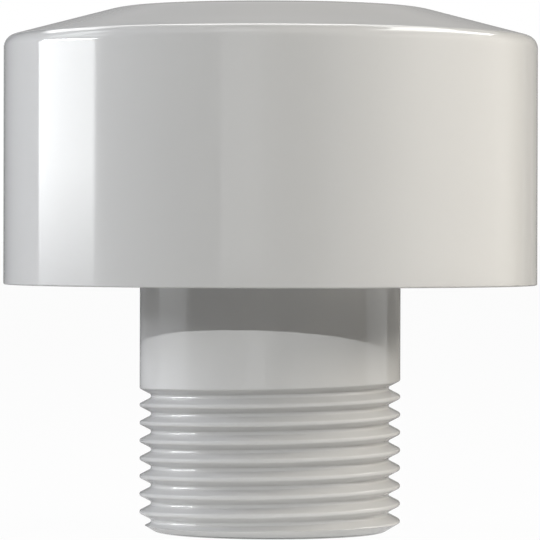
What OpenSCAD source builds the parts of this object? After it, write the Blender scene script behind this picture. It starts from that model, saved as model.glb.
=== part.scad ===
// Air admittance valve: a one-way air inlet for a drain stack, with a threaded neck.
// Millimetres. The neck's axis is Z and its open lower end lies at z = 0.

/* [Neck] */
// Outside diameter of the neck, and of the thread over its crests
neck_d = 48.3; // [46:0.1:56]
// Diameter of the air passage through the neck
bore_d = 40; // [32:0.5:41]
// Length of neck that stands out below the cap's rim
neck_reach = 45.7; // [40:0.1:70]
// Width of the chamfer at the neck's open end
chamfer_w = 2.85; // [1:0.05:3.2]
// Height of that chamfer
chamfer_h = 1.7; // [0.8:0.1:2.4]
// Step from the plain shank out to the collar above it
collar_step = 1.05; // [0.6:0.05:2]
// Length of collar that shows below the intake screen
collar_drop = 2.4; // [1:0.1:6]

/* [Thread] */
// Distance from crest to crest
thread_pitch = 3.3; // [2.8:0.1:4.5]
// Height of a crest above the root
thread_depth = 2.1; // [1.2:0.05:2.4]
// Half of the angle between two flanks
thread_flank = 27.5; // [25:0.5:32]
// Height of the last root line where the thread runs out
thread_h = 27.5; // [16:0.5:31]
// Part of a turn over which the thread runs out
runout = 0.2; // [0.1:0.05:0.5]
// Straight facets in one turn of the thread
thread_steps = 48; // [36:4:60]

/* [Cap] */
// Outside diameter of the cap
cap_d = 98.8; // [94:0.2:130]
// Wall of the cap
cap_wall = 2.4; // [1.6:0.1:3.2]
// Height of the cap's straight side
cap_side_h = 43.7; // [42:0.1:60]
// Round between the side and the sloping top
shoulder_r = 2.5; // [1:0.1:5]
// Slope of the top
top_slope = 14.7; // [10:0.1:20]
// Diameter of the flat crown
crown_d = 51; // [30:0.5:60]
// Round between the sloping top and the crown
crown_r = 18; // [4:0.5:25]
// Round on the outer edge of the rim
rim_r = 0.3; // [0.2:0.1:1.2]
// Number of stiffening ribs inside the cap
rib_count = 8; // [4:1:12]
// How far a rib stands in from the wall
rib_w = 3; // [2:0.1:3.4]
// Thickness of a rib
rib_t = 2; // [1.2:0.1:3]
// Number of snap lugs that hold the body
lug_count = 6; // [3:1:8]
// How far a lug stands in from the wall
lug_w = 1.2; // [0.8:0.1:2]
// Height of a lug's lead-in
lug_h = 4; // [3:0.1:6]
// Arc that one lug covers
lug_arc = 18; // [10:1:30]

/* [Body] */
// Depth from the cap's rim up to the intake screen
screen_recess = 8.7; // [5:0.1:10.5]
// Thickness of each screen
screen_t = 1.6; // [1.2:0.1:2.4]
// Height of the webs between the neck and the outer wall
web_h = 9; // [6:0.5:11]
// Thickness of a web
web_t = 2.2; // [1.6:0.1:3]
// Number of webs
web_count = 6; // [4:1:8]
// Height of the seats above the webs and the flange
seat_rise = 5; // [3:0.1:7]
// Width of the flange around the outer wall
flange_w = 3.6; // [3.2:0.1:5]
// Thickness of the flange
flange_t = 2.5; // [1.6:0.1:4]
// Thickness of the outer wall
wall_t = 3.2; // [2.8:0.1:4.5]
// Width of the flat land on each seat
land_w = 1; // [0.6:0.1:1.4]
// Width of the ledge that carries the bore screen
ledge_w = 1.6; // [1:0.1:2]
// Depth of the bore screen's ledge below the seats
ledge_drop = 10; // [6:0.5:16]
// Width of the step in the outer wall that the intake screen seats in
screen_step = 1.6; // [1:0.1:1.8]
// Height of the snap bead under the intake screen
bead_h = 0.5; // [0.4:0.1:1]
// How far the snap bead reaches under the intake screen
bead_w = 0.25; // [0.2:0.05:0.5]

/* [Screens] */
// Slots in the inner ring of the intake screen
inner_slots = 54; // [24:1:54]
// Slots in the outer ring of the intake screen
outer_slots = 66; // [30:1:66]
// Width of a slot
slot_w = 1.9; // [1.2:0.1:2]
// Solid ring at the edges and between the two rows of slots
screen_rim = 1.8; // [1.4:0.1:2.6]
// Diameter of a hole in the bore screen
mesh_d = 2.8; // [1.6:0.1:3.2]
// Distance between the rings of holes
mesh_pitch = 4; // [3.6:0.1:6]

/* [Membrane] */
// Lift of the membrane from its seats
lift = 7; // [4:0.5:8]
// Thickness of the seal under the carrier
seal_t = 1.4; // [1:0.1:2]
// Thickness of the seal's two lips
lip_t = 0.9; // [0.6:0.1:1.2]
// Overhang of the seal past each land
seal_over = 0.8; // [0.4:0.1:1]
// Thickness of the bead that hooks over the carrier
hook_t = 0.8; // [0.5:0.1:1.2]
// Thickness of the carrier's ring
plate_t = 1.6; // [1.2:0.1:2.4]
// Number of arms from the hub to the ring
arm_count = 6; // [3:1:8]
// Width of an arm
arm_w = 2.4; // [1.6:0.1:4]
// Height of an arm above the ring
arm_h = 2.4; // [1.6:0.1:3]
// Diameter of the hub
hub_d = 11; // [9:0.5:14]
// Diameter of the spindle
spindle_d = 6; // [4:0.1:7]
// Wall of the guide tube in the cap
guide_wall = 1.95; // [1.2:0.05:3]

/* [Clearances] */
// Radial clearance of the spindle in its guide
guide_gap = 0.25; // [0.15:0.05:0.4]
// Gap left at the top of the lift
stop_gap = 0.4; // [0.3:0.1:0.6]
// Radial clearance of a piece that snaps into another
snap_gap = 0.15; // [0.1:0.05:0.3]

/* [Hidden] */
$fn = 96;
gloss_white = [0.80, 0.80, 0.78];
screen_grey = [0.62, 0.63, 0.63];
carrier_white = [0.88, 0.88, 0.86];
seal_black = [0.12, 0.12, 0.13];

// Overlap that joins the pieces of one moulding
sink = 0.4;
// Run of a cut past the face that it opens
over = 1;
// Facets in a quarter turn of a rounded edge
arc_steps = 8;

// Radii of the neck and its collar
neck_r = neck_d / 2;
bore_r = bore_d / 2;
collar_r = neck_r + collar_step;

// Heights, from the open end of the neck upwards
rim_z = neck_reach;
screen_z = rim_z + screen_recess;
web_z = screen_z + screen_t;
flange_z = web_z + web_h;
seat_z = flange_z + seat_rise;
collar_z = screen_z - collar_drop;
ledge_z = seat_z - ledge_drop;
plate_z = seat_z + seal_t;
arm_z = plate_z + plate_t;
hub_z = arm_z + arm_h;
guide_z = hub_z + lift + stop_gap;

// Cap outline: the side, the shoulder arc, the slope and the crown arc
cap_r = cap_d / 2;
cap_in_r = cap_r - cap_wall;
side_z = rim_z + cap_side_h;
shoulder_at = [cap_r - shoulder_r, side_z];
slope_start = shoulder_at + shoulder_r * [sin(top_slope), cos(top_slope)];
slope_end_r = crown_d / 2 + crown_r * sin(top_slope);
slope_end_z = slope_z(slope_end_r);
crown_at = [crown_d / 2, slope_end_z - crown_r * cos(top_slope)];
top_z = crown_at[1] + crown_r;
ceiling_z = top_z - cap_wall;
spindle_z = ceiling_z - lift - stop_gap;

// Radii of the body's outer wall and of the two seats
flange_r = cap_in_r - snap_gap;
wall_r = flange_r - flange_w;
wall_in_r = wall_r - wall_t;
well_r = bore_r + ledge_w;
lead = land_w / 2;
inner_land_r = well_r + lead;
outer_land_r = wall_in_r + lead;

// Radii of the intake screen, the seal and the carrier's ring
screen_in_r = collar_r + snap_gap;
step_r = wall_in_r + screen_step;
screen_r = step_r - snap_gap;
seal_in_r = inner_land_r - seal_over;
seal_r = outer_land_r + land_w + seal_over;
plate_in_r = seal_in_r + lip_t;
plate_r = seal_r - lip_t;

// Height of the sloping top at a radius
function slope_z(r) = slope_start[1] + (slope_start[0] - r) * tan(top_slope);

// Points on an arc, by its centre, radius and the angles from and to
function arc(at, r, from, to) =
    [for (i = [0 : arc_steps]) let (a = from + (to - from) * i / arc_steps) at + r * [cos(a), sin(a)]];

// A ring with a rectangular section
module ring(r_in, r_out, z0, z1) {
    rotate_extrude() translate([r_in, z0]) square([r_out - r_in, z1 - z0]);
}

// A bar that lies along +X, centred on that axis
module bar(x0, x1, width, z0, z1) {
    translate([x0, -width / 2, z0]) cube([x1 - x0, width, z1 - z0]);
}

// Copies of a shape around the axis
module around(count, turn = 0) {
    for (i = [0 : count - 1]) rotate(turn + i * 360 / count) children();
}

// Cap
module cap_outline() {
    polygon(concat(
        [[0, rim_z], [cap_r - rim_r, rim_z]],
        arc([cap_r - rim_r, rim_z + rim_r], rim_r, -90, 0),
        arc(shoulder_at, shoulder_r, 0, 90 - top_slope),
        arc(crown_at, crown_r, 90 - top_slope, 90),
        [[0, top_z]]));
}

module cap_hollow() {
    inset = cap_wall / cos(top_slope);
    ceiling_r = slope_start[0] - (ceiling_z + inset - slope_start[1]) / tan(top_slope);
    polygon([
        [0, rim_z - over],
        [cap_in_r, rim_z - over],
        [cap_in_r, slope_z(cap_in_r) - inset],
        [ceiling_r, ceiling_z],
        [0, ceiling_z]]);
}

module cap_ribs() {
    rib_in_r = cap_in_r - rib_w;
    rib_top = slope_z(rib_in_r) - cap_wall / cos(top_slope) + sink;
    around(rib_count) bar(rib_in_r, cap_in_r + sink, rib_t, flange_z, rib_top);
}

module cap_lugs() {
    lug_z = flange_z - flange_t;
    around(lug_count, -lug_arc / 2) rotate_extrude(angle = lug_arc) polygon([
        [cap_in_r + sink, lug_z],
        [cap_in_r - lug_w, lug_z],
        [cap_in_r - lug_w, lug_z - lug_w / 2],
        [cap_in_r + sink, lug_z - lug_h]]);
}

module cap() {
    guide_r = spindle_d / 2 + guide_gap;
    color(gloss_white) union() {
        rotate_extrude() difference() {
            cap_outline();
            cap_hollow();
        }
        cap_ribs();
        cap_lugs();
        ring(guide_r, guide_r + guide_wall, guide_z, ceiling_z + sink);
    }
}

// Valve body: threaded neck, seats, webs and outer wall in one moulding
// Depth of the crests under the plain shank, so that a sleeve slides over them
crest_drop = 0.02;
crest_r = neck_r - crest_drop;
shank_z = thread_h + thread_pitch / 2 + sink;
skin_z = shank_z + 2 * sink;
// Turns of groove that run on below the open end, and turns of plain skin above the groove
foot_turns = 0.6;
plain_turns = 2;
groove_turns = ceil(thread_h / thread_pitch + foot_turns);
flank_run = thread_depth * tan(thread_flank);
// Share of the depth over which a crest or a root is rounded
crest_ease = 0.08;
crest_half = (thread_pitch / 2 - flank_run) / 2 + crest_ease * flank_run;

// One pitch of the thread from crest to crest, as [share of the pitch, share of the depth]
thread_form = let (e = crest_half / thread_pitch) [
    [0, 0],
    [e, crest_ease],
    [0.5 - e, 1 - crest_ease],
    [0.5, 1],
    [0.5 + e, 1 - crest_ease],
    [1 - e, crest_ease]];
form_rows = len(thread_form);
thread_rows = (groove_turns + plain_turns) * form_rows;

// Share of the depth that is left at a turn, counted up from the lowest one
function fade(turn) = max(0, min(1, (groove_turns - turn) / runout));

// A point of the thread by its column round the neck and its row up the helix
function thread_point(col, row) = let (
    form = thread_form[row % form_rows],
    turn = floor(row / form_rows) + col / thread_steps,
    z = thread_h + thread_pitch * (turn + form[0] - groove_turns - 0.5),
    threaded = crest_r - thread_depth * form[1] * fade(turn),
    chamfered = neck_r - chamfer_w + z * chamfer_w / chamfer_h,
    r = max(bore_r, min(threaded, chamfered)),
    a = 90 + 360 * col / thread_steps)
    [r * cos(a), r * sin(a), z];

// The threaded length as one closed skin, with rows that follow the helix
module thread_skin() {
    cols = thread_steps;
    rows = thread_rows;
    points = concat(
        [for (col = [0 : cols - 1], row = [0 : rows]) thread_point(col, row)],
        [for (row = [1 : form_rows]) thread_point(0, rows + row)],
        [[0, 0, -2 * thread_pitch], [0, 0, skin_z + 2 * plain_turns * thread_pitch]]);
    foot = len(points) - 2;
    head = len(points) - 1;
    function at(col, row) = col < cols
        ? (row <= rows ? col * (rows + 1) + row : cols * (rows + 1) + row - rows - 1)
        : at(0, row + form_rows);
    sides = [for (col = [0 : cols - 1], row = [0 : rows - 1], half = [0, 1])
        half == 0
            ? [at(col, row), at(col + 1, row + 1), at(col + 1, row)]
            : [at(col, row), at(col, row + 1), at(col + 1, row + 1)]];
    below = concat(
        [for (col = [0 : cols - 1]) [foot, at(col, 0), at(col + 1, 0)]],
        [for (row = [0 : form_rows - 1]) [foot, at(0, row + 1), at(0, row)]]);
    above = concat(
        [for (col = [0 : cols - 1]) [head, at(col + 1, rows), at(col, rows)]],
        [for (row = [0 : form_rows - 1]) [head, at(0, rows + row), at(0, rows + row + 1)]]);
    polyhedron(points = points, faces = concat(sides, below, above), convexity = 12);
}

module threaded_end() {
    block = 2 * neck_d;
    intersection() {
        thread_skin();
        translate([-block / 2, -block / 2, 0]) cube([block, block, skin_z]);
    }
}

// Shank, collar and inner seat, filled to the axis
module shank_outline() {
    land_out_r = inner_land_r + land_w;
    polygon([
        [0, shank_z],
        [neck_r, shank_z],
        [neck_r, collar_z],
        [collar_r, collar_z + collar_step],
        [collar_r, seat_z - (collar_r - land_out_r)],
        [land_out_r, seat_z],
        [0, seat_z]]);
}

// Air passage, the well for the bore screen and the bevel inside the inner seat
module passage_outline() {
    polygon([
        [0, -over],
        [bore_r, -over],
        [bore_r, ledge_z],
        [well_r, ledge_z],
        [well_r, seat_z - lead],
        [inner_land_r + over, seat_z + over],
        [0, seat_z + over]]);
}

// Outer wall with its seat, the flange, and the step and bead for the intake screen
module outer_wall_outline() {
    land_out_r = outer_land_r + land_w;
    polygon([
        [wall_in_r, web_z],
        [wall_in_r, seat_z - lead],
        [outer_land_r, seat_z],
        [land_out_r, seat_z],
        [wall_r, seat_z - (wall_r - land_out_r)],
        [wall_r, flange_z],
        [flange_r, flange_z],
        [flange_r, flange_z - flange_t],
        [wall_r, flange_z - flange_t],
        [wall_r, screen_z - bead_h],
        [screen_r - bead_w, screen_z - bead_h],
        [screen_r - bead_w, screen_z],
        [step_r, screen_z],
        [step_r, web_z]]);
}

module valve_body() {
    color(gloss_white) union() {
        difference() {
            union() {
                threaded_end();
                rotate_extrude() shank_outline();
            }
            rotate_extrude() passage_outline();
        }
        rotate_extrude() outer_wall_outline();
        around(web_count, 180 / web_count) bar(collar_r - sink, wall_in_r + sink, web_t, web_z, flange_z);
    }
}

// Intake screen: two rows of radial slots in a flat ring
module intake_screen() {
    mid_r = (screen_in_r + wall_in_r) / 2;
    color(screen_grey) difference() {
        ring(screen_in_r, screen_r, screen_z, web_z);
        around(inner_slots)
            bar(screen_in_r + screen_rim, mid_r - screen_rim / 2, slot_w, screen_z - over, web_z + over);
        around(outer_slots)
            bar(mid_r + screen_rim / 2, wall_in_r - screen_rim, slot_w, screen_z - over, web_z + over);
    }
}

// Bore screen: rings of holes in a disc that lies on the ledge in the well
holes_per_ring = 6;

module mesh_hole(x) {
    translate([x, 0, -over]) cylinder(d = mesh_d, h = screen_t + 2 * over, $fn = 24);
}

module bore_screen() {
    disc_r = well_r - snap_gap;
    mesh_rings = floor((bore_r - screen_rim - mesh_d / 2) / mesh_pitch);
    color(screen_grey) translate([0, 0, ledge_z]) difference() {
        cylinder(r = disc_r, h = screen_t);
        mesh_hole(0);
        for (n = [1 : mesh_rings])
            around(holes_per_ring * n) mesh_hole(n * mesh_pitch);
    }
}

// Membrane carrier: a ring on arms, with a hub and the spindle that the cap guides
module membrane_carrier() {
    spindle_r = spindle_d / 2;
    tip = spindle_r / 4;
    color(carrier_white) union() {
        ring(plate_in_r, plate_r, plate_z, arm_z);
        around(arm_count) bar(0, plate_r - 2 * lip_t, arm_w, arm_z, hub_z);
        rotate_extrude() polygon([
            [0, plate_z],
            [hub_d / 2, plate_z],
            [hub_d / 2, hub_z],
            [spindle_r, hub_z],
            [spindle_r, spindle_z - tip],
            [spindle_r - tip, spindle_z],
            [0, spindle_z]]);
    }
}

// Membrane seal: a soft ring under the carrier, with a lip on its inner edge and a hook over its outer one
module membrane_seal() {
    hook_r = plate_r - lip_t;
    color(seal_black) rotate_extrude() polygon([
        [seal_in_r, seat_z],
        [seal_r, seat_z],
        [seal_r, arm_z + hook_t],
        [hook_r, arm_z + hook_t],
        [hook_r, arm_z],
        [plate_r, arm_z],
        [plate_r, plate_z],
        [plate_in_r, plate_z],
        [plate_in_r, arm_z],
        [seal_in_r, arm_z]]);
}

cap();
valve_body();
intake_screen();
bore_screen();
membrane_carrier();
membrane_seal();
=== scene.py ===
import math

import bpy
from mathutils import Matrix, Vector


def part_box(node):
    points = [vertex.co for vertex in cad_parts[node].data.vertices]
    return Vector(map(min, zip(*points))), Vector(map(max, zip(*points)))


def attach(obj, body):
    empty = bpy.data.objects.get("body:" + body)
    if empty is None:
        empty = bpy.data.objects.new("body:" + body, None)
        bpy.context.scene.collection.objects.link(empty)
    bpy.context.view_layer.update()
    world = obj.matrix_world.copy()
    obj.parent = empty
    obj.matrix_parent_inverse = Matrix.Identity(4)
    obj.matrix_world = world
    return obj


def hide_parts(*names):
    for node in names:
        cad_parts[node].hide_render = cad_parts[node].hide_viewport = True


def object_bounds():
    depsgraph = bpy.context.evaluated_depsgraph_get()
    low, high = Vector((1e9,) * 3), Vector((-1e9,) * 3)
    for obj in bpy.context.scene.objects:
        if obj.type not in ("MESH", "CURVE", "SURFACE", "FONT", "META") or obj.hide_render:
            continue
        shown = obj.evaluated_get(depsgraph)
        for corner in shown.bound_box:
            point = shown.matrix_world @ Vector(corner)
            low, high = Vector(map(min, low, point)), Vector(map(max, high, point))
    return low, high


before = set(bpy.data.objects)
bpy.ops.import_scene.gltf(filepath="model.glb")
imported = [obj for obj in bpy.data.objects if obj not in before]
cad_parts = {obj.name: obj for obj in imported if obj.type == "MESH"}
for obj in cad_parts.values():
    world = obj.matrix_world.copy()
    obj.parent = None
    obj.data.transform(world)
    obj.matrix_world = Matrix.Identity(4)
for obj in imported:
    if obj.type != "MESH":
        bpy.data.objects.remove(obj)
cadLow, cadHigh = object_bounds()
mm = 0.001
turn = 2 * math.pi
quarter = turn / 4
mergeGap = 0.002 * mm  # points closer than this become one
print("frame loaded:", ", ".join(sorted(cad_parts)))


# hand tools

def deselectAll():
    if bpy.context.mode != "OBJECT":
        bpy.ops.object.mode_set(mode="OBJECT")
    bpy.ops.object.select_all(action="DESELECT")


def pick(piece):
    deselectAll()
    piece.select_set(True)
    bpy.context.view_layer.objects.active = piece


def arcPoints(centre, radius, start, end, steps):
    # points on an arc in the (r, z) plane, angles in radians
    span = [start + (end - start) * i / steps for i in range(steps + 1)]
    return [(centre[0] + radius * math.cos(a), centre[1] + radius * math.sin(a)) for a in span]


def smoothStep(share):
    # from 0 to 1 with a soft start and end
    share = min(1.0, max(0.0, share))
    return share * share * (3 - 2 * share)


def startVertex(name, place):
    # a tiny plane merged to one vertex at its place, left selected in edit mode
    deselectAll()
    bpy.ops.mesh.primitive_plane_add(size=mm, location=place)
    piece = bpy.context.active_object
    piece.name = name
    bpy.ops.object.transform_apply(location=True, rotation=True, scale=True)
    bpy.ops.object.mode_set(mode="EDIT")
    bpy.ops.mesh.select_all(action="SELECT")
    bpy.ops.mesh.merge(type="CENTER")
    return piece


def tracePath(name, points):
    # one vertex drawn out along (r, z) points in the XZ plane, closed at the end
    path = [Vector((r, 0, z)) for r, z in points]
    piece = startVertex(name, path[0])
    for here, after in zip(path, path[1:] + path[:1]):
        bpy.ops.mesh.extrude_region_move(TRANSFORM_OT_translate={"value": after - here})
    bpy.ops.mesh.select_all(action="SELECT")
    bpy.ops.mesh.remove_doubles(threshold=mergeGap)
    return piece


def cleanSkin():
    bpy.ops.mesh.select_all(action="SELECT")
    bpy.ops.mesh.remove_doubles(threshold=mergeGap)
    bpy.ops.mesh.dissolve_degenerate(threshold=mergeGap)
    bpy.ops.mesh.select_all(action="SELECT")
    bpy.ops.mesh.normals_make_consistent(inside=False)
    bpy.ops.object.mode_set(mode="OBJECT")


def lathe(name, points, steps, angle=turn):
    # a turned piece: the traced section is spun about the axis
    piece = tracePath(name, points)
    if angle < turn:
        bpy.ops.mesh.edge_face_add()
    bpy.ops.mesh.select_all(action="SELECT")
    bpy.ops.mesh.spin(steps=steps, angle=angle, center=(0, 0, 0), axis=(0, 0, 1))
    cleanSkin()
    return piece


def bar(name, low, high, edge, segments=2):
    # a box between two corners, with its edges broken
    deselectAll()
    low, high = Vector(low), Vector(high)
    bpy.ops.mesh.primitive_cube_add(size=1, location=(low + high) / 2, scale=high - low)
    piece = bpy.context.active_object
    piece.name = name
    bpy.ops.object.transform_apply(location=True, rotation=True, scale=True)
    bpy.ops.object.mode_set(mode="EDIT")
    bpy.ops.mesh.select_all(action="SELECT")
    bpy.ops.mesh.bevel(offset=edge, segments=segments, affect="EDGES")
    cleanSkin()
    return piece


def copyAround(piece, count, first=0.0):
    # the piece is turned to its first place, then repeated about the axis in the same mesh
    pick(piece)
    bpy.ops.object.mode_set(mode="EDIT")
    bpy.ops.mesh.select_all(action="SELECT")
    if first:
        bpy.ops.transform.rotate(value=first, orient_axis="Z", center_override=(0, 0, 0))
    bpy.ops.mesh.spin(steps=count - 1, dupli=True, angle=turn * (count - 1) / count,
                      center=(0, 0, 0), axis=(0, 0, 1))
    bpy.ops.mesh.select_all(action="SELECT")
    bpy.ops.mesh.normals_make_consistent(inside=False)
    bpy.ops.object.mode_set(mode="OBJECT")


def joinPieces(first, *others):
    pick(first)
    for other in others:
        other.select_set(True)
    bpy.ops.object.join()


def combine(piece, other, operation):
    pick(piece)
    cut = piece.modifiers.new(operation.lower(), "BOOLEAN")
    cut.operation = operation
    cut.solver = "EXACT"
    cut.object = other
    bpy.ops.object.modifier_apply(modifier=cut.name)
    bpy.data.objects.remove(other, do_unlink=True)


def polish(piece, angle):
    # smooth shading that keeps the real edges, with big faces setting the normals
    pick(piece)
    bpy.ops.object.shade_smooth_by_angle(angle=angle)
    weigh = piece.modifiers.new("weigh", "WEIGHTED_NORMAL")
    weigh.keep_sharp = True
    bpy.ops.object.modifier_apply(modifier=weigh.name)


def reportSkin(piece):
    # in a closed skin two faces share each edge
    mesh = piece.data
    uses = {}
    for face in mesh.polygons:
        for key in face.edge_keys:
            uses[key] = uses.get(key, 0) + 1
    openEdges = sum(1 for count in uses.values() if count != 2)
    triangles = sum(len(face.vertices) - 2 for face in mesh.polygons)
    print(piece.name, "faces", len(mesh.polygons), "triangles", triangles, "open edges", openEdges)


def addMath(tree, operation, *values):
    # a math node fed by sockets or plain numbers
    node = tree.nodes.new("ShaderNodeMath")
    node.operation = operation
    for socket, value in zip(node.inputs, values):
        if isinstance(value, (int, float)):
            socket.default_value = value
        else:
            tree.links.new(value, socket)
    return node.outputs["Value"]


# cap

capLow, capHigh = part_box("cap")
capSizes = {
    "radius": (capHigh.x - capLow.x) / 2,
    "rim": capLow.z,
    "wall": 2.4 * mm,
    "side": 43.7 * mm,
    "sideRings": (0.2, 0.5, 0.8),  # rings up the straight side, as shares of it
    "shoulder": 2.5 * mm,
    "slope": math.radians(14.7),
    "crown": 25.5 * mm,
    "crownRound": 18 * mm,
    "rimRound": 0.3 * mm,
    "rimInnerRound": 0.3 * mm,
    "steps": 192,
    "arcSteps": 14,
    "rimSteps": 7,
    "rimInnerSteps": 4,
    "smooth": math.radians(28),
}
capInsides = {
    "flangeTop": 65 * mm,
    "flangeThick": 2.5 * mm,
    "ribs": 8,
    "ribWide": 3 * mm,
    "ribThick": 2 * mm,
    "ribRise": 1.2 * mm,  # how far a rib reaches up into the top
    "lugs": 6,
    "lugWide": 1.2 * mm,
    "lugHigh": 4 * mm,
    "lugArc": math.radians(18),
    "lugSteps": 12,
    "guideHole": 3.25 * mm,
    "guideWall": 1.95 * mm,
    "guideFoot": 82.8 * mm,
    "guideSteps": 64,
    "sink": 0.4 * mm,  # how far pieces reach into each other before they are united
    "edge": 0.25 * mm,
}


def capSection(c):
    # outside from the rim up to the crown, then the inside back down
    sin, cos, tan = math.sin(c["slope"]), math.cos(c["slope"]), math.tan(c["slope"])
    shoulderAt = (c["radius"] - c["shoulder"], c["rim"] + c["side"])
    start = (shoulderAt[0] + c["shoulder"] * sin, shoulderAt[1] + c["shoulder"] * cos)
    endR = c["crown"] + c["crownRound"] * sin
    endZ = start[1] + (start[0] - endR) * tan
    crownAt = (c["crown"], endZ - c["crownRound"] * cos)
    top = crownAt[1] + c["crownRound"]
    inner = c["radius"] - c["wall"]
    drop = c["wall"] / cos
    ceiling = top - c["wall"]
    ceilingR = start[0] - (ceiling + drop - start[1]) / tan
    cornerZ = start[1] + (start[0] - inner) * tan - drop
    rimAt = (c["radius"] - c["rimRound"], c["rim"] + c["rimRound"])
    rimInnerAt = (inner + c["rimInnerRound"], c["rim"] + c["rimInnerRound"])
    outside = arcPoints(rimAt, c["rimRound"], -quarter, 0, c["rimSteps"])
    outside += [(c["radius"], c["rim"] + c["side"] * share) for share in c["sideRings"]]
    outside += arcPoints(shoulderAt, c["shoulder"], 0, quarter - c["slope"], c["arcSteps"])
    outside += arcPoints(crownAt, c["crownRound"], quarter - c["slope"], quarter, c["arcSteps"])
    inside = [(0, top), (0, ceiling), (ceilingR, ceiling), (inner, cornerZ)]
    inside += arcPoints(rimInnerAt, c["rimInnerRound"], 2 * quarter, 3 * quarter, c["rimInnerSteps"])
    return outside + inside, inner, ceiling, cornerZ


def buildCap(c, n):
    section, inner, ceiling, cornerZ = capSection(c)
    cap = lathe("capMoulding", section, c["steps"])
    guide = lathe("guide", [
        (n["guideHole"], n["guideFoot"]),
        (n["guideHole"] + n["guideWall"], n["guideFoot"]),
        (n["guideHole"] + n["guideWall"], ceiling + n["sink"]),
        (n["guideHole"], ceiling + n["sink"]),
    ], n["guideSteps"])
    ribs = bar("ribs", (inner - n["ribWide"], -n["ribThick"] / 2, n["flangeTop"]),
               (inner + n["sink"], n["ribThick"] / 2, cornerZ + n["ribRise"]), n["edge"])
    copyAround(ribs, n["ribs"])
    lugTop = n["flangeTop"] - n["flangeThick"]
    lugs = lathe("lugs", [
        (inner + n["sink"], lugTop),
        (inner + n["sink"], lugTop - n["lugHigh"]),
        (inner - n["lugWide"], lugTop - n["lugWide"] / 2),
        (inner - n["lugWide"], lugTop),
    ], n["lugSteps"], angle=n["lugArc"])
    copyAround(lugs, n["lugs"], first=-n["lugArc"] / 2)
    joinPieces(guide, ribs, lugs)
    combine(cap, guide, "UNION")
    polish(cap, c["smooth"])
    reportSkin(cap)
    return cap


capMoulding = buildCap(capSizes, capInsides)
print("cap turned")


# valve body

bodyLow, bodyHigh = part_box("valve_body")
bodySizes = {
    "neck": 24.15 * mm,
    "foot": bodyLow.z,
    "bore": 20 * mm,
    "chamferWide": 2.85 * mm,
    "chamferHigh": 1.7 * mm,
    "shankRing": 30.16 * mm,  # a ring on the plain shank above the thread
    "collar": 25.2 * mm,
    "collarFoot": 52 * mm,
    "collarStep": 1.05 * mm,
    "well": 21.6 * mm,
    "ledge": 60 * mm,
    "seat": bodyHigh.z,
    "landIn": 22.1 * mm,
    "land": 1 * mm,
    "lead": 0.5 * mm,
    "flange": 46.85 * mm,
    "flangeTop": capInsides["flangeTop"],
    "flangeThick": capInsides["flangeThick"],
    "wall": 43.25 * mm,
    "wallIn": 40.05 * mm,
    "step": 41.65 * mm,
    "bead": 41.25 * mm,
    "beadFoot": 53.9 * mm,
    "screen": 54.4 * mm,
    "webFoot": 56 * mm,
    "webThick": 2.2 * mm,
    "webs": 6,
    "sink": 0.4 * mm,
    "edge": 0.25 * mm,
    "steps": 192,
    "smooth": math.radians(32),
}
threadSizes = {
    "pitch": 3.3 * mm,
    "depth": 2.1 * mm,
    "flank": math.radians(27.5),
    "top": 27.5 * mm,
    "runout": 0.2,  # in turns
    "runoutSpare": 0.04 * mm,  # drawn out by this beyond the depth
    "turns": 10,
    "steps": 192,
    "arcSteps": 5,
    "clear": 0.6 * mm,  # how far the cutter stands out of the neck
    "graze": 0.01 * mm,  # how far its crests reach past the neck's skin
}


def neckSection(b):
    landOut = b["landIn"] + b["land"]
    return [
        (b["bore"], b["foot"]),
        (b["neck"] - b["chamferWide"], b["foot"]),
        (b["neck"], b["foot"] + b["chamferHigh"]),
        (b["neck"], b["shankRing"]),
        (b["neck"], b["collarFoot"]),
        (b["collar"], b["collarFoot"] + b["collarStep"]),
        (b["collar"], b["seat"] - (b["collar"] - landOut)),
        (landOut, b["seat"]),
        (b["landIn"], b["seat"]),
        (b["well"], b["seat"] - b["lead"]),
        (b["well"], b["ledge"]),
        (b["bore"], b["ledge"]),
    ]


def outerWallSection(b):
    landIn = b["wallIn"] + b["lead"]
    landOut = landIn + b["land"]
    return [
        (b["wallIn"], b["webFoot"]),
        (b["step"], b["webFoot"]),
        (b["step"], b["screen"]),
        (b["bead"], b["screen"]),
        (b["bead"], b["beadFoot"]),
        (b["wall"], b["beadFoot"]),
        (b["wall"], b["flangeTop"] - b["flangeThick"]),
        (b["flange"], b["flangeTop"] - b["flangeThick"]),
        (b["flange"], b["flangeTop"]),
        (b["wall"], b["flangeTop"]),
        (b["wall"], b["seat"] - (b["wall"] - landOut)),
        (landOut, b["seat"]),
        (landIn, b["seat"]),
        (b["wallIn"], b["seat"] - b["lead"]),
    ]


def grooveSection(b, t):
    # one groove seen in section, round in its root and easing over both crests, centred on z = 0
    half = t["pitch"] / 2
    spare = (half - t["depth"] * math.tan(t["flank"])) / 2
    ease = spare / math.tan(t["flank"])
    bend = ease * math.sin(t["flank"]) / (1 - math.sin(t["flank"]))
    tilt = quarter - t["flank"]
    rootAt = (b["neck"] - t["depth"] + bend, 0)
    crestAt = (b["neck"] - bend + t["graze"], half)
    outer = b["neck"] + t["clear"]
    root = arcPoints(rootAt, bend, math.pi + tilt, math.pi - tilt, 2 * t["arcSteps"])
    last = math.acos(1 - 2 * t["graze"] / bend)
    upper = arcPoints(crestAt, bend, -tilt, -last, t["arcSteps"])
    lower = [(r, -z) for r, z in reversed(upper)]
    brim = upper[-1][1]
    return lower + root + upper + [(outer, brim), (outer, -brim)]


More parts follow.
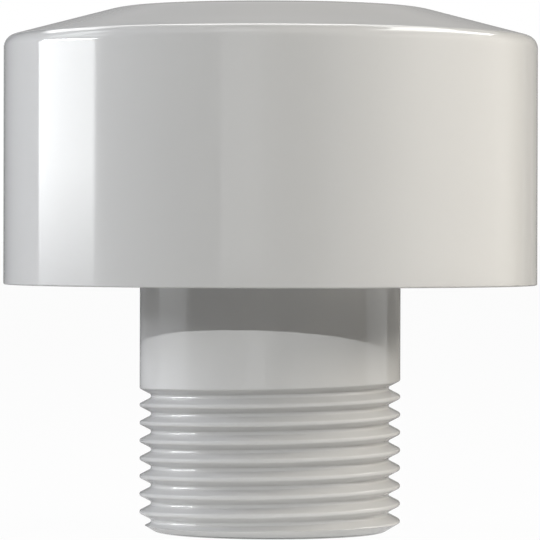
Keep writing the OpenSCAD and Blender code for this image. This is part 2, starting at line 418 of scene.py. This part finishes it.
def buildGroove(b, t):
    # the section is screwed up the neck and drawn out of it over the last part of a turn, at the back
    groove = tracePath("groove", grooveSection(b, t))
    bpy.ops.transform.rotate(value=-quarter, orient_axis="Z", center_override=(0, 0, 0))
    bpy.ops.transform.translate(value=(0, 0, t["top"] - t["turns"] * t["pitch"]))
    bpy.ops.object.mode_set(mode="OBJECT")
    screw = groove.modifiers.new("screw", "SCREW")
    screw.axis = "Z"
    screw.angle = turn
    screw.screw_offset = t["pitch"]
    screw.iterations = t["turns"]
    screw.steps = t["steps"]
    screw.render_steps = t["steps"]
    screw.use_merge_vertices = True
    screw.merge_threshold = mergeGap
    bpy.ops.object.modifier_apply(modifier=screw.name)
    bpy.ops.object.mode_set(mode="EDIT")
    bpy.ops.mesh.select_all(action="DESELECT")
    bpy.ops.mesh.select_non_manifold(extend=False, use_wire=False, use_boundary=True,
                                     use_multi_face=False, use_non_contiguous=False, use_verts=False)
    bpy.ops.mesh.fill_holes(sides=0)
    cleanSkin()
    for vert in groove.data.vertices:
        x, y, z = vert.co
        angle = (math.atan2(y, x) - quarter) / turn
        climbed = (z - t["top"]) / t["pitch"]
        along = round(climbed - angle) + angle  # turns from the thread's top
        shift = (t["depth"] + t["runoutSpare"]) * smoothStep(1 + along / t["runout"])
        radius = math.hypot(x, y)
        vert.co.x *= (radius + shift) / radius
        vert.co.y *= (radius + shift) / radius
    return groove


def buildBody(b, t):
    body = lathe("bodyMoulding", neckSection(b), t["steps"])
    webs = bar("webs", (b["collar"] - b["sink"], -b["webThick"] / 2, b["webFoot"]),
               (b["wallIn"] + b["sink"], b["webThick"] / 2, b["flangeTop"]), b["edge"])
    copyAround(webs, b["webs"], first=turn / b["webs"] / 2)
    combine(body, webs, "UNION")
    combine(body, lathe("outerWall", outerWallSection(b), b["steps"]), "UNION")
    reportSkin(body)
    groove = buildGroove(b, t)
    reportSkin(groove)
    combine(body, groove, "DIFFERENCE")
    polish(body, b["smooth"])
    reportSkin(body)
    return body


bodyMoulding = buildBody(bodySizes, threadSizes)
print("body turned and threaded")


# finishes

grainSizes = {
    "patchDetail": 3.0,
    "skinDetail": 2.0,
    "middle": 0.5,  # what the noise swings about
    "patchShare": 0.6,  # what each noise adds to the gloss
    "skinShare": 0.4,
}


def addSocket(group, name, way, kind, default=None):
    socket = group.interface.new_socket(name=name, in_out=way, socket_type=kind)
    if default is not None:
        socket.default_value = default


def makeMouldGrain(g):
    # slow tone drift, patchy gloss and a fine moulded skin, all on Object coordinates
    group = bpy.data.node_groups.new("mouldGrain", "ShaderNodeTree")
    addSocket(group, "Tone", "INPUT", "NodeSocketColor", (0.6, 0.6, 0.6, 1))
    addSocket(group, "Tone Drift", "INPUT", "NodeSocketFloat", 0.03)
    addSocket(group, "Gloss", "INPUT", "NodeSocketFloat", 0.2)
    addSocket(group, "Gloss Drift", "INPUT", "NodeSocketFloat", 0.05)
    addSocket(group, "Patch Scale", "INPUT", "NodeSocketFloat", 45.0)
    addSocket(group, "Skin Scale", "INPUT", "NodeSocketFloat", 900.0)
    addSocket(group, "Color", "OUTPUT", "NodeSocketColor")
    addSocket(group, "Roughness", "OUTPUT", "NodeSocketFloat")
    addSocket(group, "Height", "OUTPUT", "NodeSocketFloat")
    nodes, links = group.nodes, group.links
    entry = nodes.new("NodeGroupInput")
    leave = nodes.new("NodeGroupOutput")
    place = nodes.new("ShaderNodeTexCoord")

    def noise(scale, detail):
        texture = nodes.new("ShaderNodeTexNoise")
        texture.inputs["Detail"].default_value = detail
        links.new(place.outputs["Object"], texture.inputs["Vector"])
        links.new(scale, texture.inputs["Scale"])
        return texture.outputs["Fac"]

    patch = noise(entry.outputs["Patch Scale"], g["patchDetail"])
    skin = noise(entry.outputs["Skin Scale"], g["skinDetail"])
    patchSwing = addMath(group, "SUBTRACT", patch, g["middle"])
    skinSwing = addMath(group, "SUBTRACT", skin, g["middle"])
    drift = addMath(group, "MULTIPLY", patchSwing, entry.outputs["Tone Drift"])
    tone = nodes.new("ShaderNodeHueSaturation")
    links.new(addMath(group, "ADD", drift, 1.0), tone.inputs["Value"])
    links.new(entry.outputs["Tone"], tone.inputs["Color"])
    links.new(tone.outputs["Color"], leave.inputs["Color"])
    patchPart = addMath(group, "MULTIPLY", patchSwing, g["patchShare"])
    skinPart = addMath(group, "MULTIPLY", skinSwing, g["skinShare"])
    mixed = addMath(group, "ADD", patchPart, skinPart)
    glossShift = addMath(group, "MULTIPLY", mixed, entry.outputs["Gloss Drift"])
    links.new(addMath(group, "ADD", entry.outputs["Gloss"], glossShift), leave.inputs["Roughness"])
    links.new(skin, leave.inputs["Height"])
    return group


mouldGrain = makeMouldGrain(grainSizes)


def makeFinish(name, look):
    finish = bpy.data.materials.new(name)
    finish.use_nodes = True
    nodes, links = finish.node_tree.nodes, finish.node_tree.links
    shader = nodes["Principled BSDF"]
    grain = nodes.new("ShaderNodeGroup")
    grain.node_tree = mouldGrain
    grain.inputs["Tone"].default_value = (*look["tone"], 1)
    grain.inputs["Tone Drift"].default_value = look["toneDrift"]
    grain.inputs["Gloss"].default_value = look["gloss"]
    grain.inputs["Gloss Drift"].default_value = look["glossDrift"]
    grain.inputs["Patch Scale"].default_value = look["patchScale"]
    grain.inputs["Skin Scale"].default_value = look["skinScale"]
    bump = nodes.new("ShaderNodeBump")
    bump.inputs["Strength"].default_value = look["skinStrength"]
    bump.inputs["Distance"].default_value = look["skinDepth"]
    links.new(grain.outputs["Color"], shader.inputs["Base Color"])
    links.new(grain.outputs["Roughness"], shader.inputs["Roughness"])
    links.new(grain.outputs["Height"], bump.inputs["Height"])
    links.new(bump.outputs["Normal"], shader.inputs["Normal"])
    shader.inputs["IOR"].default_value = look["ior"]
    return finish


glossWhite = makeFinish("glossWhite", {
    "tone": (0.50, 0.50, 0.495), "toneDrift": 0.02, "gloss": 0.06, "glossDrift": 0.03, "ior": 1.52,
    "patchScale": 45.0, "skinScale": 700.0, "skinStrength": 0.05, "skinDepth": 0.05 * mm})
screenGrey = makeFinish("screenGrey", {
    "tone": (0.34, 0.345, 0.35), "toneDrift": 0.06, "gloss": 0.5, "glossDrift": 0.12, "ior": 1.49,
    "patchScale": 120.0, "skinScale": 2200.0, "skinStrength": 0.25, "skinDepth": 0.05 * mm})
carrierWhite = makeFinish("carrierWhite", {
    "tone": (0.70, 0.70, 0.68), "toneDrift": 0.04, "gloss": 0.38, "glossDrift": 0.08, "ior": 1.49,
    "patchScale": 90.0, "skinScale": 1500.0, "skinStrength": 0.15, "skinDepth": 0.05 * mm})
sealBlack = makeFinish("sealBlack", {
    "tone": (0.022, 0.022, 0.024), "toneDrift": 0.2, "gloss": 0.62, "glossDrift": 0.15, "ior": 1.52,
    "patchScale": 160.0, "skinScale": 3000.0, "skinStrength": 0.4, "skinDepth": 0.06 * mm})


def dress(piece, finish):
    piece.data.materials.clear()
    piece.data.materials.append(finish)


for piece, node in ((capMoulding, "cap"), (bodyMoulding, "valve_body")):
    dress(piece, glossWhite)
    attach(piece, "housing")
    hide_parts(node)

nodeFinishes = {
    "intake_screen": screenGrey,
    "bore_screen": screenGrey,
    "membrane_carrier": carrierWhite,
    "membrane_seal": sealBlack,
}
for node, finish in nodeFinishes.items():
    dress(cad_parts[node], finish)
print("finishes set")


# studio, lengths in metres and angles of lamps and cards in degrees

cameraSizes = {
    "distance": 0.789,
    "height": 56.2 * mm,
    "side": -0.07 * mm,
    "roll": math.radians(-0.15),
    "sensor": 36.0,
    "focalPixels": 4256.0,
    "imagePixels": 540.0,
    "horizonPixels": 42.0,
    "clipStart": 0.01,
    "clipEnd": 100.0,
}


def setCamera(c):
    data = bpy.data.cameras.new("camera")
    data.sensor_width = c["sensor"]
    data.lens = c["sensor"] * c["focalPixels"] / c["imagePixels"]
    data.clip_start = c["clipStart"]
    data.clip_end = c["clipEnd"]
    camera = bpy.data.objects.new("camera", data)
    bpy.context.scene.collection.objects.link(camera)
    camera.location = (c["side"], -c["distance"], c["height"])
    dip = math.atan(c["horizonPixels"] / c["focalPixels"])
    camera.rotation_euler = (quarter - dip, c["roll"], 0)
    bpy.context.scene.camera = camera


setCamera(cameraSizes)

studio = {
    "white": 1.0,
    "ambient": (0.92, 0.96, 1.0),
    "ambientStrength": 0.02,
    "floorHalf": 15.0,
    "floorTone": (0.57, 0.57, 0.56),
    "floorWhite": 0.97,
    "aim": 60 * mm,  # height on the axis that the lamps turn to
    "cardDistance": 0.6,
    "cardSteps": 32,
    "leastFade": 0.1,
    "flagSides": 64,
}


def seenWhite(tree):
    # 1 for camera, glossy and transmission rays
    rays = tree.nodes.new("ShaderNodeLightPath")
    found = rays.outputs["Is Camera Ray"]
    for name in ("Is Glossy Ray", "Is Transmission Ray"):
        found = addMath(tree, "MAXIMUM", found, rays.outputs[name])
    return found


def barePaint(name):
    # a material with nothing but its output
    paint = bpy.data.materials.new(name)
    paint.use_nodes = True
    tree = paint.node_tree
    tree.nodes.remove(tree.nodes["Principled BSDF"])
    return paint, tree


def makeWorld(s):
    world = bpy.data.worlds.new("studio")
    bpy.context.scene.world = world
    world.use_nodes = True
    tree = world.node_tree
    nodes, links = tree.nodes, tree.links
    ambient = nodes["Background"]
    ambient.inputs["Color"].default_value = (*s["ambient"], 1)
    ambient.inputs["Strength"].default_value = s["ambientStrength"]
    white = nodes.new("ShaderNodeBackground")
    white.inputs["Color"].default_value = (1, 1, 1, 1)
    white.inputs["Strength"].default_value = s["white"]
    mix = nodes.new("ShaderNodeMixShader")
    links.new(seenWhite(tree), mix.inputs["Fac"])
    links.new(ambient.outputs["Background"], mix.inputs[1])
    links.new(white.outputs["Background"], mix.inputs[2])
    links.new(mix.outputs["Shader"], nodes["World Output"].inputs["Surface"])


def makeFloor(s):
    # matt for the light that falls on it, nearly white for what looks at it
    deselectAll()
    bpy.ops.mesh.primitive_plane_add(size=2 * s["floorHalf"], location=(0, 0, cadLow.z))
    floor = bpy.context.active_object
    floor.name = "floor"
    paint, tree = barePaint("floorPaint")
    nodes, links = tree.nodes, tree.links
    matt = nodes.new("ShaderNodeBsdfDiffuse")
    matt.inputs["Color"].default_value = (*s["floorTone"], 1)
    white = nodes.new("ShaderNodeEmission")
    white.inputs["Strength"].default_value = s["white"]
    mix = nodes.new("ShaderNodeMixShader")
    links.new(addMath(tree, "MULTIPLY", seenWhite(tree), s["floorWhite"]), mix.inputs["Fac"])
    links.new(matt.outputs["BSDF"], mix.inputs[1])
    links.new(white.outputs["Emission"], mix.inputs[2])
    links.new(mix.outputs["Shader"], nodes["Material Output"].inputs["Surface"])
    dress(floor, paint)


makeWorld(studio)
makeFloor(studio)

# azimuth is counted from the camera's side, positive to the right
lampLooks = {
    "key": {
        "azimuth": -13.4, "elevation": 16.2, "distance": 1.2, "size": (0.006, 0.006),
        "watts": 7.25, "tone": (0.99, 0.997, 1.0)},
    "leftFill": {
        "azimuth": -97, "elevation": 18, "distance": 0.6, "size": (0.45, 0.25),
        "watts": 3.15, "tone": (0.93, 0.946, 1.0)},
    "rightFill": {
        "azimuth": 82, "elevation": 27, "distance": 0.7, "size": (0.8, 0.3),
        "watts": 5.5, "tone": (1.0, 0.948, 0.869)},
    "tableGlow": {
        "azimuth": 0, "elevation": -90, "distance": 0.0597, "size": (0.09, 0.09),
        "watts": 0.010, "tone": (1.0, 1.0, 1.0)},
}


def direction(azimuth, elevation):
    a, e = math.radians(azimuth), math.radians(elevation)
    return Vector((math.sin(a) * math.cos(e), -math.cos(a) * math.cos(e), math.sin(e)))


def hangLamp(name, look, s):
    # a lamp that lights and casts shadows; the cards make the reflections
    data = bpy.data.lights.new(name, "AREA")
    data.shape = "ELLIPSE"
    data.size, data.size_y = look["size"]
    data.energy = look["watts"]
    data.color = look["tone"]
    lamp = bpy.data.objects.new(name, data)
    bpy.context.scene.collection.objects.link(lamp)
    away = direction(look["azimuth"], look["elevation"])
    lamp.location = Vector((0, 0, s["aim"])) + away * look["distance"]
    lamp.rotation_euler = away.to_track_quat("Z", "Y").to_euler()
    lamp.visible_glossy = False


for name, look in lampLooks.items():
    hangLamp(name, look, studio)

# what a card has unless its own look says otherwise; without a ramp it is even from its foot up
plainCard = {"ends": (1.0, 1.0), "fade": (0, 0), "tilt": 0.0, "tone": (1.0, 1.0, 1.0)}
coolTone = (0.97, 0.99, 1.0)
cardLooks = {
    "leftBox": {
        "azimuth": (-113.6, -75.5), "ends": (0.82, 1.0), "fade": (0.5, 3), "edge": 1.0, "tone": coolTone,
        "heights": (1 * mm, 130 * mm), "ramp": (33 * mm, 76 * mm), "foot": 1.35, "strength": 7.0},
    "leftStrip": {
        "azimuth": (-111, -75.5), "ends": (0.82, 1.0), "fade": (0.5, 3), "edge": 1.0, "tone": coolTone,
        "heights": (130 * mm, 178 * mm), "ramp": (130 * mm, 132 * mm), "foot": 7.0, "strength": 50.0},
    "leftHigh": {
        "azimuth": (-113.6, -75.5), "ends": (0.82, 1.0), "fade": (0.5, 3), "edge": 1.0, "tone": coolTone,
        "heights": (178 * mm, 420 * mm), "ramp": (225 * mm, 420 * mm), "foot": 1.3, "strength": 3.8},
    "leftTop": {
        "azimuth": (-112, -91), "ends": (0.8, 1.0), "fade": (4, 4), "edge": 1.0, "tone": coolTone,
        "heights": (420 * mm, 720 * mm), "strength": 4.5},
    "leftBack": {
        "azimuth": (-160, -124), "fade": (8, 8), "edge": 1.0,
        "heights": (440 * mm, 760 * mm), "ramp": (440 * mm, 480 * mm), "foot": 1.0, "strength": 4.5},
    "rightBox": {
        "azimuth": (30, 135), "fade": (40, 26), "edge": 0.7, "tone": (1.0, 0.97, 0.91),
        "heights": (37 * mm, 440 * mm), "strength": 2.0},
    "rightHigh": {
        "azimuth": (66, 133), "fade": (3, 3), "edge": 1.5, "tilt": 0.8, "tone": (1.0, 1.0, 0.98),
        "heights": (440 * mm, 1250 * mm), "ramp": (730 * mm, 770 * mm), "foot": 1.5, "strength": 7.5},
    "rightBack": {
        "azimuth": (133, 162), "ends": (1.0, 0.6), "fade": (0, 10), "edge": 1.0, "tone": (1.0, 1.0, 0.98),
        "heights": (640 * mm, 1100 * mm), "ramp": (640 * mm, 700 * mm), "foot": 1.0, "strength": 6.5},
    "frontTop": {
        "azimuth": (-38, 6), "fade": (10, 15), "edge": 1.0,
        "heights": (730 * mm, 1500 * mm), "ramp": (730 * mm, 800 * mm), "foot": 1.0, "strength": 2.2},
    "backTop": {
        "azimuth": (162, 200), "fade": (8, 8), "edge": 1.0,
        "heights": (440 * mm, 1100 * mm), "ramp": (440 * mm, 470 * mm), "foot": 1.0, "strength": 3.4},
    "leftFlag": {
        "azimuth": (-163, -114), "ends": (0.15, 0.9),
        "heights": (37 * mm, 430 * mm), "strength": 0.6},
    "leftLowFlag": {
        "azimuth": (-163, -114), "ends": (0.45, 1.0),
        "heights": (1 * mm, 37 * mm), "strength": 0.6},
    "backFlag": {
        "azimuth": (163, 197),
        "heights": (1 * mm, 430 * mm), "ramp": (60 * mm, 300 * mm), "foot": 0.2, "strength": 0.55},
    "rightFlag": {
        "azimuth": (136, 163), "ends": (0.9, 0.6), "tone": (1.0, 0.99, 0.96),
        "heights": (37 * mm, 430 * mm), "strength": 0.6},
    "rightLowFlag": {
        "azimuth": (124, 163), "tone": (1.0, 0.96, 0.9),
        "heights": (1 * mm, 37 * mm), "strength": 0.35},
    "sideLowFlag": {
        "azimuth": (30, 92), "tone": (1.0, 0.96, 0.9),
        "heights": (1 * mm, 37 * mm), "strength": 0.35},
    "frontLeftFlag": {
        "azimuth": (-74, -20), "fade": (12, 14), "edge": 0.25,
        "heights": (1 * mm, 560 * mm), "ramp": (28 * mm, 42 * mm), "foot": 0.25, "strength": 0.15},
    "frontLowFlag": {
        "azimuth": (-20, -4),
        "heights": (23 * mm, 42 * mm), "ramp": (36 * mm, 42 * mm), "foot": 0.05, "strength": 1.0},
    "frontRightFlag": {
        "azimuth": (-4, 30), "fade": (14, 12), "edge": 0.6,
        "heights": (1 * mm, 560 * mm), "ramp": (28 * mm, 42 * mm), "foot": 0.1, "strength": 0.15},
}


def reflectOnly(card):
    card.visible_camera = False
    card.visible_shadow = False
    card.visible_diffuse = False


def addRamp(tree, value, fromRange, toRange, way="SMOOTHSTEP"):
    node = tree.nodes.new("ShaderNodeMapRange")
    node.interpolation_type = way
    sockets = ("From Min", "From Max", "To Min", "To Max")
    for socket, number in zip(sockets, (*fromRange, *toRange)):
        node.inputs[socket].default_value = number
    tree.links.new(value, node.inputs["Value"])
    return node.outputs["Result"]


def hangCard(name, look, s):
    # an upright curved card that shows in reflections only; it fades to its edge's strength at both ends,
    # leans from one end to the other and climbs from the foot's strength to its own over the ramp,
    # which a tilt makes start lower towards the last end
    look = {**plainCard, **look}
    strength = look["strength"]
    first, last = (math.radians(a) for a in look["azimuth"])
    low, high = look["heights"]
    start = direction(look["azimuth"][0], 0) * s["cardDistance"]
    start.z = low
    card = startVertex(name, start)
    bpy.ops.mesh.extrude_region_move(TRANSFORM_OT_translate={"value": (0, 0, high - low)})
    bpy.ops.mesh.select_all(action="SELECT")
    bpy.ops.mesh.spin(steps=s["cardSteps"], angle=first - last, center=(0, 0, 0), axis=(0, 0, 1))
    bpy.ops.object.mode_set(mode="OBJECT")

    glow, tree = barePaint(name)
    nodes, links = tree.nodes, tree.links
    place = nodes.new("ShaderNodeTexCoord")
    turned = nodes.new("ShaderNodeVectorRotate")
    turned.rotation_type = "Z_AXIS"
    turned.inputs["Angle"].default_value = quarter - (first + last) / 2
    split = nodes.new("ShaderNodeSeparateXYZ")
    links.new(place.outputs["Object"], turned.inputs["Vector"])
    links.new(turned.outputs["Vector"], split.inputs["Vector"])
    angle = addMath(tree, "ARCTAN2", split.outputs["Y"], split.outputs["X"])
    climb = addMath(tree, "MULTIPLY_ADD", angle, look["tilt"], split.outputs["Z"])

    half = (last - first) / 2
    edge = look.get("edge", strength) / strength
    fadeIn, fadeOut = (math.radians(a + s["leastFade"]) for a in look["fade"])
    rise = (look.get("foot", strength), strength)
    shares = [
        addRamp(tree, angle, (-half, half), look["ends"], way="LINEAR"),
        addRamp(tree, angle, (-half, -half + fadeIn), (edge, 1)),
        addRamp(tree, angle, (half - fadeOut, half), (1, edge)),
    ]
    total = addRamp(tree, climb, look.get("ramp", look["heights"]), rise, way="LINEAR")
    for share in shares:
        total = addMath(tree, "MULTIPLY", total, share)
    light = nodes.new("ShaderNodeEmission")
    light.inputs["Color"].default_value = (*look["tone"], 1)
    links.new(total, light.inputs["Strength"])
    links.new(light.outputs["Emission"], nodes["Material Output"].inputs["Surface"])
    dress(card, glow)
    reflectOnly(card)


for name, look in cardLooks.items():
    hangCard(name, look, studio)

# discs on the floor that only reflections see: a grey one keeps the undersides from mirroring the white,
# and a paler one at the foot lifts the chamfer and the lowest turns of the thread
flagLooks = {
    "floorFlag": {"radius": studio["cardDistance"], "height": 0.2 * mm, "tone": 0.3},
    "footFlag": {"radius": 60 * mm, "height": 0.3 * mm, "tone": 0.55},
}


def layFlag(name, look, s):
    deselectAll()
    bpy.ops.mesh.primitive_circle_add(vertices=s["flagSides"], radius=look["radius"], fill_type="NGON",
                                      location=(0, 0, look["height"]))
    flag = bpy.context.active_object
    flag.name = name
    grey, tree = barePaint(name)
    light = tree.nodes.new("ShaderNodeEmission")
    light.inputs["Strength"].default_value = look["tone"]
    tree.links.new(light.outputs["Emission"], tree.nodes["Material Output"].inputs["Surface"])
    dress(flag, grey)
    reflectOnly(flag)


for name, look in flagLooks.items():
    layFlag(name, look, studio)
bpy.context.scene.view_settings.view_transform = "Standard"
print("studio set")
